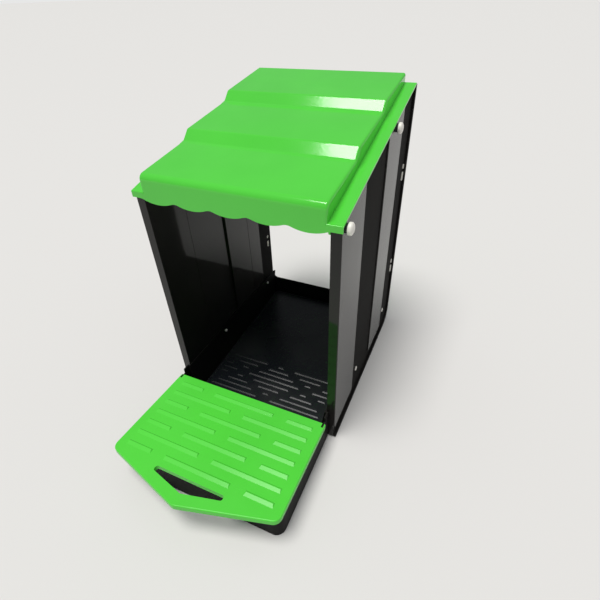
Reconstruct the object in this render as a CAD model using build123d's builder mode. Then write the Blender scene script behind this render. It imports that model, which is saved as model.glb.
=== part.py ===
"""Roll-away nest box for hens: a small coop of moulded side panels, base tray, lifting egg lid and
tiled roof.

The nest opens towards -Y. X = 0 is the plane of symmetry, and +X is on the right of somebody who looks in
from the front. The origin is the centre of the base tray's underside. Units are millimetres.
"""

import os
from math import cos, radians, sin, tan

from build123d import *

os.makedirs("parts", exist_ok=True)

# ---------------------------------------------------------------- driving sizes
outer_width = 320.0          # over both side panels
panel_thickness = 15.0       # side panel over its raised planks
panel_depth = 372.0          # front edge to rear edge of a side panel
eave_height = 425.0          # top of a side panel at its front edge
roof_pitch = 14.2            # degrees, slope of the eaves
wall = 2.5                   # general moulded wall

# side panels
plank_relief = 2.5
plank_edge_radius = 1.4
plank_one_end = 98.0         # the first plank starts at the front edge
plank_two_rear = 163.0       # the second plank's ends, measured from the rear edge
plank_two_end_rear = 72.0
plank_foot = 28.0            # plain border below the planks
plank_foot_radius = 6.0
rear_flange = 60.0           # the double wall stops here, and a thinner flange goes on to the rear edge
flange_inset = 5.0           # inner step of that rear flange
inner_groove_rear = 184.0    # upright groove in the inner face: its rear side, from the rear edge
inner_groove_width = 34.0
inner_groove_depth = 4.0
inner_line_front = 82.0      # fine raised lines on the inner face, behind the front edge
inner_line_rear = 106.0      # and in front of the rear edge
inner_line_width = 1.6
inner_line_height = 0.35
inner_relief_foot = 6.0      # groove and lines start this far above the tray's rim
rim_width = 4.0              # upstanding rim along the bottom and rear edges
rim_height = 4.8
rim_edge_radius = 1.2
panel_rear_corner = 35.0
panel_front_corner = 4.0

# base tray
tray_side_gap = 0.5
tray_rim_height = 70.0
tray_rear_dip = 20.0         # the rear wall is lower than the rim by this
tray_rear_dip_margin = 2.0   # the low stretch of the rear wall stops this far inside the rim
tray_rear_dip_radius = 10.0
tray_rear_inset = 2.5        # the rear wall stands this far inside the panels' rear edges
tray_draft = 11.0            # each wall of the nest part leans in this much towards the bottom
tray_rear_corner = 12.0
trough_reach = 194.0         # from the panels' front edges to the trough's front wall
trough_side_step = 3.5       # the trough is this much wider than the nest part on each side
trough_corner = 16.0
trough_bottom_radius = 3.0
trough_shoulder = 2.0        # gap between the trough's shoulders and the panels
high_rim_start = 16.0        # the high rim ends this far in front of the panels

# nest floor
floor_thickness = 2.5
floor_side_gap = 2.5         # to the tray's leaning walls, at the floor's lowest place
floor_front = -6.0           # measured from the panels' front edges
floor_rear_gap = 23.5        # rear edge to the outside of the tray's rim
floor_front_lift = 0.7       # underside's front end over the tray's bottom
floor_fall = 2.3             # degrees, down towards the trough
floor_front_corner = 20.0
floor_rear_corner = 10.0
floor_bead_width = 3.0
floor_bead_height = 1.6
floor_rib_first = 30.0       # first row, from the front edge
floor_rib_pitch = 12.0
floor_rib_rows = 8
floor_rib_front = 2.8        # lengths of a rib's front and rear slopes
floor_rib_rear = 3.4
floor_rib_height = 1.1
floor_rib_margin = 10.0      # bare strip at the sides
floor_rib_reach = 57.0       # half length of the longest rib of a diamond
floor_rib_taper = 16.8       # each row away from it is shorter by this at both ends
floor_rib_columns = 72.0     # between the middles of neighbouring diamonds
bearer_inset = 34.0          # outer bearers, from the floor's side edges
bearer_start = 12.0
bearer_clearance = 0.3

# egg lid
lid_rear = 20.0              # rear edge, in front of the panels
lid_overhang = 7.0           # front corners, past the trough's front wall
lid_point = 40.5             # how far the point stands out past the front corners
lid_below_rim = 9.0          # top of the rear edge, under the tray's high rim
lid_tilt = 3.2               # degrees, up towards the front
lid_plate = 3.0
lid_skirt = 11.0
lid_front_corner = 14.0
lid_rear_corner = 3.0
lid_edge_radius = 2.0
lid_seat_clearance = 0.5
lid_rib_first = 19.0         # first row's ridge, from the rear edge
lid_rib_last_gap = 12.0      # least distance from the last row to the handle slot
lid_rib_pitch = 23.7
lid_rib_front = 6.2          # lengths of a rib's gentle front slope and its steeper rear slope
lid_rib_rear = 2.6
lid_rib_height = 1.9
rib_crest = 0.8              # flat top of every rib
rib_end_run = 1.6            # length of the slopes at its ends
lid_rib_middle = 60.0        # half length of a middle rib
lid_rib_gap = 26.0           # bare stretch between two ribs of a row
lid_rib_margin = 17.0        # bare strip at the sides
handle_half_width = 62.0
handle_behind = 2.0          # straight edge of the handle slot, behind the front corners
handle_end = 8.0             # front-to-rear size of the slot at its ends
handle_depth = 23.0          # and at its middle
handle_corner = 3.8
handle_middle_radius = 6.0
handle_collar = 2.0
handle_collar_depth = 8.0

# lid hinge
hinge_ahead = 24.5           # axis, in front of the panels
hinge_below_lid = 6.0        # axis, under the top of the lid's rear edge
hinge_pin_radius = 2.0
hinge_clearance = 0.06
hinge_ear_radius = 4.5
hinge_lug_radius = 4.2
hinge_lug_width = 3.3
hinge_lug_gap = 0.7          # between a lug and the tray's ear
hinge_skirt_gap = 0.5        # between the ear and the lid's skirt
hinge_notch_gap = 0.7        # between the ear and the end of the lid's notch
hinge_pin_recess = 0.3       # pin ends lie this far inside the skirt's outer face

# roof
roof_wall = 3.0
roof_seat_clearance = 0.3
roof_overhang = 4.0          # front face, ahead of the panels
roof_side_overhang = 2.0     # flanges, outside the panels
crown_side_inset = 3.0       # the crown's sides, inside the panels' inner faces
roof_rear_inset = 5.0        # rear end, in front of the panels' rear edges
tile_high = 29.0             # a tile's front end over the eave line
tile_low = 18.0              # a tile's rear end over the eave line
tile_count = 3
tile_step = 15.5             # length of the steep step from one tile up to the next
tile_first_start = -8.0
tile_last_cut = 7.5          # the last tile is shorter than a whole pitch by this
tile_radius = 6.0
crown_front_radius = 10.0
crown_rear_radius = 3.0
crown_side_radius = 4.0
eave_front_radius = 1.4
valance_drop = 7.0           # eave line down to the bottom edge between two scallops
scallop_count = 5
scallop_depth = 6.5
scallop_cusp_radius = 16.0

# roof knobs, their washers and nuts
knob_front = 12.0            # behind the panels' front edges
knob_rear = 126.0            # in front of their rear edges
knob_below_eave = 9.5
knob_radius = 8.5
knob_rim = 3.5
knob_head = 7.5
knob_shoulder = 1.2
shank_radius = 3.0
shank_clearance = 0.08
shank_past_nut = 3.0
shank_tip = 0.8
knob_boss_radius = 6.5
washer_radius = 6.5
washer_thickness = 3.4
stack_gap = 0.2              # between the faces of clamped pieces
tab_width = 24.0
tab_thickness = 2.8
tab_panel_gap = 0.5
tab_below_knob = 9.0
tab_corner = 6.0
nut_across_flats = 12.0
nut_thickness = 5.0

# base pins, which hold the tray between the panels
pin_front = 123.0            # behind the panels' front edges
pin_rear = 52.0              # in front of their rear edges
pin_below_rim = 10.0
pin_radius = 2.5
pin_clearance = 0.08
pin_head_radius = 4.5
pin_head = 2.2
pin_dome = 1.2
pin_tip_radius = 3.2
pin_tip = 2.0
pin_sleeve_radius = 6.5

# lined fixing holes in the rear flanges
fixing_from_rear = 14.0
fixing_levels = (152.0, 362.0)
fixing_slot_length = 16.0
fixing_bore_radius = 2.5
fixing_round_above = 19.0
liner_wall = 1.2
liner_clearance = 0.1
liner_lip = 0.7
liner_proud = 1.4

# ---------------------------------------------------------------- derived places
outer_half = outer_width / 2
inner_half = outer_half - panel_thickness
band_level = outer_half - plank_relief
eave_slope = tan(radians(roof_pitch))
lid_slope = tan(radians(lid_tilt))
floor_slope = tan(radians(floor_fall))
plank_two_start = panel_depth - plank_two_rear
plank_two_end = panel_depth - plank_two_end_rear
panel_hollow_end = panel_depth - rear_flange
groove_end = panel_depth - inner_groove_rear
groove_start = groove_end - inner_groove_width
relief_foot = tray_rim_height + inner_relief_foot
tray_half = inner_half - tray_side_gap
tray_rear = panel_depth - tray_rear_inset
front_y = (trough_reach - tray_rear) / 2     # panels' front edges, with the origin under mid-tray
trough_half_width = tray_half + trough_side_step
lid_half_width = trough_half_width + hinge_skirt_gap + wall
lid_side_length = trough_reach + lid_overhang - lid_rear
lid_rear_height = tray_rim_height - lid_below_rim
handle_back = lid_side_length - handle_behind
hinge_height = lid_rear_height - hinge_below_lid
hinge_notch_length = hinge_ahead - lid_rear + hinge_ear_radius + hinge_notch_gap
roof_half_width = outer_half + roof_side_overhang
crown_half_width = inner_half - crown_side_inset
roof_rear = panel_depth - roof_rear_inset
tile_pitch = (roof_rear + tile_last_cut - tile_first_start) / tile_count
scallop_pitch = 2 * inner_half / scallop_count
knob_places = {"front": knob_front, "rear": panel_depth - knob_rear}
pin_places = {"front": pin_front, "rear": panel_depth - pin_rear}
pin_height = tray_rim_height - pin_below_rim
shank_hole = shank_radius + shank_clearance
pin_hole = pin_radius + pin_clearance
hinge_hole = hinge_pin_radius + hinge_clearance
beyond = 20.0                # how far cutting tools run past what they cut
sides = {"left": -1, "right": 1}


def y(distance: float) -> float:
    """Y of a place that lies this far behind the panels' front edges."""
    return front_y + distance


def eave(distance: float) -> float:
    """Height of the panels' top edge at a distance behind their front edges."""
    return eave_height + eave_slope * distance


def side_plane(offset: float) -> Plane:
    """Plane across X, in which a sketch's X and Y are the model's Y and Z."""
    return Plane.YZ.offset(offset)


def lathe_plane(side: int, x: float, centre: tuple[float, float]) -> Plane:
    """Plane through a turned piece's axis: its X runs outwards along the axis, and its Y is up."""
    return Plane(origin=(side * x, *centre), x_dir=(side, 0, 0), z_dir=(0, -side, 0))


def save(piece: Part, name: str) -> None:
    """Label a finished piece and write its STEP file."""
    piece.label = name
    export_step(piece, f"parts/{name}.step")


knob_centres = {
    place: (y(distance), eave(distance) - knob_below_eave) for place, distance in knob_places.items()
}
pin_centres = {place: (y(distance), pin_height) for place, distance in pin_places.items()}
hinge_centre = (y(-hinge_ahead), hinge_height)


# ---------------------------------------------------------------- side panels
def panel_strip(start: float, end: float, foot: float, below_eave: float = 0.0) -> list[tuple[float, float]]:
    """Corners of an upright strip of panel, whose top follows the eave."""
    return [
        (y(start), foot),
        (y(end), foot),
        (y(end), eave(end) - below_eave),
        (y(start), eave(start) - below_eave),
    ]


# start and end of each hollow between the two skins, with webs where the planks begin and end
hollows = (
    (wall, plank_one_end - wall),
    (plank_one_end, plank_two_start),
    (plank_two_start + wall, plank_two_end - wall),
    (plank_two_end, panel_hollow_end - wall),
)
hollow_depth = band_level - inner_half - 2 * wall

with BuildPart() as side_panel:
    with BuildSketch(side_plane(inner_half)) as outline:
        with BuildLine():
            Polyline(*panel_strip(0, panel_depth, 0), close=True)
        make_face()
        fillet(outline.vertices().group_by(Axis.Y)[0].sort_by(Axis.X)[0], panel_front_corner)
        fillet(outline.vertices().group_by(Axis.Y)[0].sort_by(Axis.X)[-1], panel_rear_corner)
    extrude(amount=band_level - inner_half)
    for start, end in ((0.0, plank_one_end), (plank_two_start, plank_two_end)):
        with BuildSketch(side_plane(band_level)) as plank:
            with BuildLine():
                Polyline(*panel_strip(start, end, plank_foot), close=True)
            make_face()
            fillet(plank.vertices().group_by(Axis.Y)[0], plank_foot_radius)
        extrude(amount=plank_relief)
    fillet(side_panel.faces().group_by(Axis.X)[-1].edges(), plank_edge_radius)
    # rim along the bottom and rear edges, open towards the front and the eave
    with BuildSketch(side_plane(band_level)):
        add(outline.sketch_local)
        with BuildSketch(mode=Mode.PRIVATE) as field:
            with BuildLine():
                Polyline(*panel_strip(-beyond, panel_depth - rim_width, rim_width, -beyond), close=True)
            make_face()
            fillet(field.vertices().group_by(Axis.Y)[0].sort_by(Axis.X)[-1], panel_rear_corner - rim_width)
        add(field.sketch_local, mode=Mode.SUBTRACT)
    extrude(amount=rim_height)
    fillet(side_panel.faces().group_by(Axis.X)[-1].edges(), rim_edge_radius)
    # the double wall's hollows are open at the foot
    for start, end in hollows:
        with BuildSketch(side_plane(inner_half + wall)):
            with BuildLine():
                Polyline(*panel_strip(start, end, -beyond, wall), close=True)
            make_face()
        extrude(amount=hollow_depth, mode=Mode.SUBTRACT)
    # upright groove in the inner face, with the skin carried round behind it
    with BuildSketch(side_plane(inner_half + wall / 2)):
        with BuildLine():
            Polyline(
                *panel_strip(groove_start - wall, groove_end + wall, relief_foot - wall, wall),
                close=True,
            )
        make_face()
    extrude(amount=inner_groove_depth + wall / 2)
    with BuildSketch(side_plane(inner_half)):
        with BuildLine():
            Polyline(*panel_strip(groove_start, groove_end, relief_foot, 2 * wall), close=True)
        make_face()
    extrude(amount=inner_groove_depth, mode=Mode.SUBTRACT)
    # fine raised lines beside it
    for line in (inner_line_front, panel_depth - inner_line_rear):
        with BuildSketch(side_plane(inner_half - inner_line_height)):
            with BuildLine():
                Polyline(
                    *panel_strip(line, line + inner_line_width, relief_foot, 2 * wall), close=True
                )
            make_face()
        extrude(amount=inner_line_height + wall / 2)
    # the rear flange is thinner on its inner side
    with BuildSketch(side_plane(inner_half)):
        with BuildLine():
            Polyline(*panel_strip(panel_hollow_end, panel_depth + beyond, -beyond, -beyond), close=True)
        make_face()
    extrude(amount=flange_inset, mode=Mode.SUBTRACT)
    # bosses and sleeves cross the hollows where fasteners pass
    for centres, radius in ((knob_centres, knob_boss_radius), (pin_centres, pin_sleeve_radius)):
        with BuildSketch(side_plane(inner_half + wall / 2)):
            with Locations(*centres.values()):
                Circle(radius)
        extrude(amount=band_level - inner_half - wall)
    for centres, radius in ((knob_centres, shank_hole), (pin_centres, pin_hole)):
        with BuildSketch(side_plane(inner_half)):
            with Locations(*centres.values()):
                Circle(radius)
        extrude(amount=panel_thickness, mode=Mode.SUBTRACT)
    # openings for the lined fixing holes
    with BuildSketch(side_plane(inner_half)):
        with Locations(*[(y(panel_depth - fixing_from_rear), level) for level in fixing_levels]):
            SlotOverall(fixing_slot_length, 2 * (fixing_bore_radius + liner_wall), rotation=90)
        with Locations(
            *[(y(panel_depth - fixing_from_rear), level + fixing_round_above) for level in fixing_levels]
        ):
            Circle(fixing_bore_radius + liner_wall)
    extrude(amount=panel_thickness, mode=Mode.SUBTRACT)

save(mirror(side_panel.part, about=Plane.YZ), "left_side_panel")
save(side_panel.part, "right_side_panel")

# ---------------------------------------------------------------- base tray
def lid_underside(ahead: float) -> float:
    """Height of the lid plate's underside at a distance in front of the panels."""
    return lid_rear_height - lid_plate / cos(radians(lid_tilt)) + lid_slope * (ahead - lid_rear)


def tray_lean(height: float) -> float:
    """How far the nest part's walls have come inwards at a height."""
    return tray_draft * (1 - height / tray_rim_height)


def nest_corners(inset: float, height: float, front: float) -> list[tuple[float, float]]:
    """Corners of the nest part's section at a height, with its walls pulled in by an inset."""
    half = tray_half - inset - tray_lean(height)
    rear = y(tray_rear - inset - tray_lean(height))
    return [(-half, y(front)), (half, y(front)), (half, rear), (-half, rear)]


floor_front_height = wall + floor_front_lift
floor_half_width = tray_half - wall - tray_lean(floor_front_height) - floor_side_gap
floor_rear = tray_rear - floor_rear_gap

with BuildPart() as base_tray:
    # nest part, between the panels
    for height in (0, tray_rim_height):
        with BuildSketch(Plane.XY.offset(height)) as section:
            with BuildLine():
                Polyline(*nest_corners(0, height, -trough_shoulder - wall), close=True)
            make_face()
            fillet(section.vertices().group_by(Axis.Y)[-1], tray_rear_corner)
    loft()
    # trough part, in front of them
    with BuildSketch() as trough:
        with Locations((0, y(-(trough_reach + trough_shoulder) / 2))):
            Rectangle(2 * trough_half_width, trough_reach - trough_shoulder)
        fillet(trough.vertices().group_by(Axis.Y)[0], trough_corner)
    extrude(amount=tray_rim_height + beyond)
    trough_foot = base_tray.edges().filter_by_position(Axis.Z, -wall, wall / 2)
    trough_foot = trough_foot.filter_by_position(Axis.Y, y(-trough_reach - wall), y(-2 * trough_shoulder))
    fillet(trough_foot, trough_bottom_radius)
    # its rim follows the lid's underside up to where the high rim starts
    with BuildSketch(side_plane(-trough_half_width - beyond)):
        with BuildLine():
            Polyline(
                (y(-trough_reach - beyond), lid_underside(trough_reach + beyond) - lid_seat_clearance),
                (y(-high_rim_start), lid_underside(high_rim_start) - lid_seat_clearance),
                (y(-high_rim_start), tray_rim_height),
                (y(beyond), tray_rim_height),
                (y(beyond), tray_rim_height + 2 * beyond),
                (y(-trough_reach - beyond), tray_rim_height + 2 * beyond),
                close=True,
            )
        make_face()
    extrude(amount=2 * (trough_half_width + beyond), mode=Mode.SUBTRACT)
    # insides
    for height in (wall, tray_rim_height + wall):
        with BuildSketch(Plane.XY.offset(height)) as section:
            with BuildLine():
                Polyline(*nest_corners(wall, height, -trough_shoulder - 2 * wall), close=True)
            make_face()
            fillet(section.vertices().group_by(Axis.Y)[-1], tray_rear_corner - wall)
    loft(mode=Mode.SUBTRACT)
    with BuildSketch(Plane.XY.offset(wall)) as trough_inside:
        with Locations((0, y(-(trough_reach + trough_shoulder) / 2))):
            Rectangle(2 * (trough_half_width - wall), trough_reach - trough_shoulder - 2 * wall)
        fillet(trough_inside.vertices().group_by(Axis.Y)[0], trough_corner - wall)
    extrude(amount=tray_rim_height + beyond, mode=Mode.SUBTRACT)
    # the rear wall dips between its corners
    with BuildSketch(Plane.XZ.offset(-y(tray_rear + beyond))) as dip:
        with Locations((0, tray_rim_height - tray_rear_dip + beyond)):
            Rectangle(2 * (tray_half - wall - tray_rear_dip_margin), 2 * beyond)
        fillet(dip.vertices().group_by(Axis.Y)[0], tray_rear_dip_radius)
    extrude(amount=2 * beyond, mode=Mode.SUBTRACT)
    # hinge ears stand up from the trough's side walls
    for side in sides.values():
        with BuildSketch(side_plane(side * (trough_half_width - wall / 2) - wall / 2)):
            with Locations(hinge_centre):
                Circle(hinge_ear_radius)
            ear_back = hinge_ahead - high_rim_start
            with Locations((hinge_centre[0] + ear_back / 2, hinge_height)):
                Rectangle(ear_back, 2 * hinge_ear_radius)
        extrude(amount=wall)
        with BuildSketch(side_plane(side * (trough_half_width - wall / 2) - wall)):
            with Locations(hinge_centre):
                Circle(hinge_hole)
        extrude(amount=2 * wall, mode=Mode.SUBTRACT)
    # bearers under the nest floor
    bearer_end = floor_rear - bearer_start
    for x in (bearer_inset - floor_half_width, 0, floor_half_width - bearer_inset):
        with BuildSketch(side_plane(x - wall / 2)):
            with BuildLine():
                Polyline(
                    (y(bearer_start), wall / 2),
                    (y(bearer_end), wall / 2),
                    *[
                        (
                            y(place),
                            floor_front_height + floor_slope * (place - floor_front) - bearer_clearance,
                        )
                        for place in (bearer_end, bearer_start)
                    ],
                    close=True,
                )
            make_face()
        extrude(amount=wall)
    # holes for the base pins
    with BuildSketch(side_plane(-tray_half - beyond)):
        with Locations(*pin_centres.values()):
            Circle(pin_hole)
    extrude(amount=2 * (tray_half + beyond), mode=Mode.SUBTRACT)

save(base_tray.part, "base_tray")

# ---------------------------------------------------------------- nest floor
floor_plane = Plane(
    origin=(0, y(floor_front), floor_front_height),
    x_dir=(1, 0, 0),
    z_dir=(0, -sin(radians(floor_fall)), cos(radians(floor_fall))),
)
floor_length = (floor_rear - floor_front) / cos(radians(floor_fall))
floor_rib_end = floor_half_width - floor_rib_margin


def rib_levels(height: float, rear: float, front: float) -> tuple[tuple[float, ...], ...]:
    """Level, reach to the rear, reach to the front and end inset of a rib's foot and of its crest."""
    return (0.0, rear, front, 0.0), (height, rib_crest / 2, rib_crest / 2, rib_end_run)


def diamond_spans(row: int) -> list[tuple[float, float]]:
    """Ends of the floor ribs of one row, whose lengths draw a field of diamonds."""
    spans = []
    for column in range(-3, 4):
        rows_away = (row + 4 * (column + 1)) % 8
        half = floor_rib_reach - floor_rib_taper * min(rows_away, 8 - rows_away)
        middle = column * floor_rib_columns
        start, end = max(middle - half, -floor_rib_end), min(middle + half, floor_rib_end)
        if half > 0 and end - start > 2 * rib_end_run + rib_crest:
            spans.append((start, end))
    return spans


with BuildPart() as nest_floor:
    with BuildSketch(floor_plane) as floor_outline:
        with Locations((0, floor_length / 2)):
            Rectangle(2 * floor_half_width, floor_length)
        fillet(floor_outline.vertices().group_by(Axis.Y)[0], floor_front_corner)
        fillet(floor_outline.vertices().group_by(Axis.Y)[-1], floor_rear_corner)
    extrude(amount=floor_thickness)
    top_plane = floor_plane.offset(floor_thickness)
    with BuildSketch(top_plane):
        add(floor_outline.sketch_local)
        offset(floor_outline.sketch_local, amount=-floor_bead_width, mode=Mode.SUBTRACT)
    extrude(amount=floor_bead_height)
    for row in range(floor_rib_rows):
        across = floor_rib_first + row * floor_rib_pitch
        for start, end in diamond_spans(row):
            for level, rear, front, inset in rib_levels(floor_rib_height, floor_rib_rear, floor_rib_front):
                with BuildSketch(top_plane.offset(level)):
                    with Locations(((start + end) / 2, across + (rear - front) / 2)):
                        Rectangle(end - start - 2 * inset, rear + front)
            loft(ruled=True)

save(nest_floor.part, "nest_floor")

# ---------------------------------------------------------------- egg lid
lid_plane = Plane(
    origin=(0, y(-lid_rear), lid_rear_height),
    x_dir=(1, 0, 0),
    z_dir=(0, sin(radians(lid_tilt)), cos(radians(lid_tilt))),
)
lid_lug_outer = trough_half_width - wall - hinge_lug_gap
lid_skirt_inner = lid_half_width - wall
lid_rib_rows = int((handle_back - lid_rib_last_gap - lid_rib_first) / lid_rib_pitch) + 1
lid_rib_end = lid_half_width - lid_rib_margin


def brick_spans(row: int) -> list[tuple[float, float]]:
    """Ends of the lid ribs of one row, laid like bricks: short-long-short, then long-long."""
    if row % 2 == 0:
        return [
            (-lid_rib_end, -lid_rib_middle - lid_rib_gap),
            (-lid_rib_middle, lid_rib_middle),
            (lid_rib_middle + lid_rib_gap, lid_rib_end),
        ]
    return [(-lid_rib_end, -lid_rib_gap / 2), (lid_rib_gap / 2, lid_rib_end)]


with BuildPart() as egg_lid:
    with BuildSketch(lid_plane) as lid_outline:
        with BuildLine():
            Polyline(
                (-lid_half_width, 0),
                (-lid_half_width, -lid_side_length),
                (0, -lid_side_length - lid_point),
                (lid_half_width, -lid_side_length),
                (lid_half_width, 0),
                close=True,
            )
        make_face()
        lid_corners = lid_outline.vertices().group_by(Axis.Y)
        fillet(lid_corners[0] + lid_corners[1], lid_front_corner)
        fillet(lid_outline.vertices().group_by(Axis.Y)[-1], lid_rear_corner)
    extrude(amount=-lid_skirt)
    fillet(egg_lid.faces().sort_by(Axis.Z)[-1].edges(), lid_edge_radius)
    # hollow under the plate, open at the rear
    with BuildSketch(lid_plane.offset(-lid_plate)):
        offset(lid_outline.sketch_local, amount=-wall)
        with Locations((0, -lid_skirt / 2)):
            Rectangle(2 * lid_skirt_inner, 2 * lid_skirt)
    extrude(amount=-lid_skirt, mode=Mode.SUBTRACT)
    # brick pattern of ribs
    for row in range(lid_rib_rows):
        across = -lid_rib_first - row * lid_rib_pitch
        for start, end in brick_spans(row):
            for level, rear, front, inset in rib_levels(lid_rib_height, lid_rib_rear, lid_rib_front):
                with BuildSketch(lid_plane.offset(level)):
                    with Locations(((start + end) / 2, across + (rear - front) / 2)):
                        Rectangle(end - start - 2 * inset, rear + front)
            loft(ruled=True)
    # handle slot with a turned-down collar
    with BuildSketch(lid_plane) as handle_slot:
        with BuildLine():
            Polyline(
                (-handle_half_width, -handle_back),
                (handle_half_width, -handle_back),
                (handle_half_width, -handle_back - handle_end),
                (0, -handle_back - handle_depth),
                (-handle_half_width, -handle_back - handle_end),
                close=True,
            )
        make_face()
        fillet(handle_slot.vertices().group_by(Axis.Y)[0], handle_middle_radius)
        slot_ends = handle_slot.vertices().filter_by(lambda vertex: abs(vertex.X) > handle_half_width / 2)
        fillet(slot_ends, handle_corner)
    with BuildSketch(lid_plane):
        offset(handle_slot.sketch_local, amount=handle_collar)
    extrude(amount=-handle_collar_depth)
    with BuildSketch(lid_plane):
        add(handle_slot.sketch_local)
    extrude(amount=-lid_skirt, mode=Mode.SUBTRACT)
    for side in sides.values():
        # notch for the tray's ear, between the plate and the skirt
        notch_width = lid_skirt_inner - lid_lug_outer
        with BuildSketch(lid_plane.offset(lid_plate)):
            with Locations((side * (lid_lug_outer + notch_width / 2), 0)):
                Rectangle(notch_width, 2 * hinge_notch_length)
        extrude(amount=-lid_skirt - lid_plate, mode=Mode.SUBTRACT)
        # lug on the plate's inner side of the ear
        with BuildSketch(side_plane(side * (lid_lug_outer - hinge_lug_width / 2) - hinge_lug_width / 2)):
            with Locations(hinge_centre):
                Circle(hinge_lug_radius)
            rise = lid_underside(hinge_ahead) + lid_plate / 2 - hinge_height
            with Locations((hinge_centre[0], hinge_height + rise / 2)):
                Rectangle(2 * hinge_lug_radius, rise)
        extrude(amount=hinge_lug_width)
    # bore through both skirts and lugs
    with BuildSketch(side_plane(-lid_half_width - beyond)):
        with Locations(hinge_centre):
            Circle(hinge_hole)
    extrude(amount=2 * (lid_half_width + beyond), mode=Mode.SUBTRACT)

save(egg_lid.part, "egg_lid")

for name, side in sides.items():
    pin_start = lid_lug_outer - hinge_lug_width
    pin_end = lid_half_width - hinge_pin_recess
    with BuildPart() as hinge_pin:
        with BuildSketch(side_plane(side * (pin_start + pin_end) / 2 - (pin_end - pin_start) / 2)):
            with Locations(hinge_centre):
                Circle(hinge_pin_radius)
        extrude(amount=pin_end - pin_start)
        chamfer(hinge_pin.edges().filter_by(GeomType.CIRCLE), hinge_pin_recess)
    save(hinge_pin.part, f"hinge_pin_{name}")

# ---------------------------------------------------------------- roof
front_face = y(-roof_overhang)


def roof_line(distance: float, rise: float) -> tuple[float, float]:
    """Y and Z of a point at a height over the roof flange's underside."""
    return y(distance), eave(distance) + roof_seat_clearance + rise


tiles = []
for number in range(tile_count):
    tile_start = tile_first_start + number * tile_pitch
    tiles.append((max(tile_start, -roof_overhang), tile_start + tile_pitch - tile_step))
tiles[-1] = (tiles[-1][0], roof_rear)
crown_points = [roof_line(-roof_overhang, 0)]
for tile_start, tile_end in tiles:
    crown_points += [roof_line(tile_start, tile_high), roof_line(tile_end, tile_low)]
crown_points.append(roof_line(roof_rear, 0))


def tile_corners(sketch: BuildSketch) -> ShapeList[Vertex]:
    """Corners along the top of the crown's section, from front to rear."""
    tops = sketch.vertices().filter_by(
        lambda vertex: vertex.Y > eave(vertex.X - front_y) + tile_low / 2
    )
    return tops.sort_by(Axis.X)


with BuildPart() as roof:
    # raised crown of lapped tiles
    with BuildSketch(side_plane(-crown_half_width)) as crown:
        with BuildLine():
            Polyline(*crown_points, close=True)
        make_face()
        fillet(tile_corners(crown)[-1], crown_rear_radius)
        fillet(tile_corners(crown)[1:2 * tile_count - 1], tile_radius)
        fillet(tile_corners(crown)[0], crown_front_radius)
    extrude(amount=2 * crown_half_width)
    rounded = roof.edges().filter_by(
        lambda edge: edge.center().Z > eave(edge.center().Y - front_y) + tile_low / 2
        and abs(edge.center().X) > crown_half_width - wall
    )
    fillet(rounded, crown_side_radius)
    # the crown is a shell, open below
    with BuildSketch(side_plane(roof_wall - crown_half_width)):
        offset(crown.sketch_local, amount=-roof_wall)
        with BuildLine():
            Polyline(
                roof_line(roof_wall - roof_overhang, -beyond),
                roof_line(roof_rear - roof_wall, -beyond),
                roof_line(roof_rear - roof_wall, 2 * roof_wall),
                roof_line(roof_wall - roof_overhang, 2 * roof_wall),
                close=True,
            )
        make_face()
    extrude(amount=2 * (crown_half_width - roof_wall), mode=Mode.SUBTRACT)
    # flanges over the panels
    for side in sides.values():
        flange_inner = crown_half_width - roof_wall / 2
        flange_width = roof_half_width - flange_inner
        with BuildSketch(side_plane(side * (flange_inner + flange_width / 2) - flange_width / 2)) as flange:
            with BuildLine():
                Polyline(
                    roof_line(-roof_overhang, 0),
                    roof_line(roof_rear, 0),
                    roof_line(roof_rear, roof_wall),
                    roof_line(-roof_overhang, roof_wall),
                    close=True,
                )
            make_face()
            fillet(flange.vertices().sort_by(Axis.X)[:2].sort_by(Axis.Y)[-1], eave_front_radius)
        extrude(amount=flange_width)
    # scalloped valance across the front
    valance_top = eave(-roof_overhang) + roof_seat_clearance + roof_wall / 2
    valance_bottom = eave_height - valance_drop
    scallops_end = scallop_count * scallop_pitch / 2
    with BuildSketch(Plane.XZ.offset(-front_face)) as valance:
        with BuildLine():
            Polyline(
                (-scallops_end, valance_bottom),
                (-roof_half_width, valance_bottom),
                (-roof_half_width, valance_top),
                (roof_half_width, valance_top),
                (roof_half_width, valance_bottom),
                (scallops_end, valance_bottom),
            )
            for number in range(scallop_count):
                middle = (number + 0.5) * scallop_pitch - scallops_end
                ThreePointArc(
                    (middle - scallop_pitch / 2, valance_bottom),
                    (middle, valance_bottom - scallop_depth),
                    (middle + scallop_pitch / 2, valance_bottom),
                )
        make_face()
        cusps = valance.vertices().filter_by(
            lambda vertex: abs(vertex.X) < scallops_end + 1 and vertex.Y < valance_bottom + 1
        )
        fillet(cusps, scallop_cusp_radius)
    extrude(amount=-roof_wall)
    # tabs hang inside the panels and take the knobs
    for side in sides.values():
        tab_outer = inner_half - tab_panel_gap
        for place, (centre_y, centre_z) in knob_centres.items():
            with BuildSketch(side_plane(side * (tab_outer - tab_thickness / 2) - tab_thickness / 2)) as tab:
                tab_ends = (knob_places[place] - tab_width / 2, knob_places[place] + tab_width / 2)
                with BuildLine():
                    Polyline(
                        (y(tab_ends[0]), centre_z - tab_below_knob),
                        (y(tab_ends[1]), centre_z - tab_below_knob),
                        roof_line(tab_ends[1], roof_wall / 2),
                        roof_line(tab_ends[0], roof_wall / 2),
                        close=True,
                    )
                make_face()
                fillet(tab.vertices().group_by(Axis.Y)[0], tab_corner)
            extrude(amount=tab_thickness)
    with BuildSketch(side_plane(-roof_half_width - beyond)):
        with Locations(*knob_centres.values()):
            Circle(shank_hole)
    extrude(amount=2 * (roof_half_width + beyond), mode=Mode.SUBTRACT)

save(roof.part, "roof")

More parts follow.
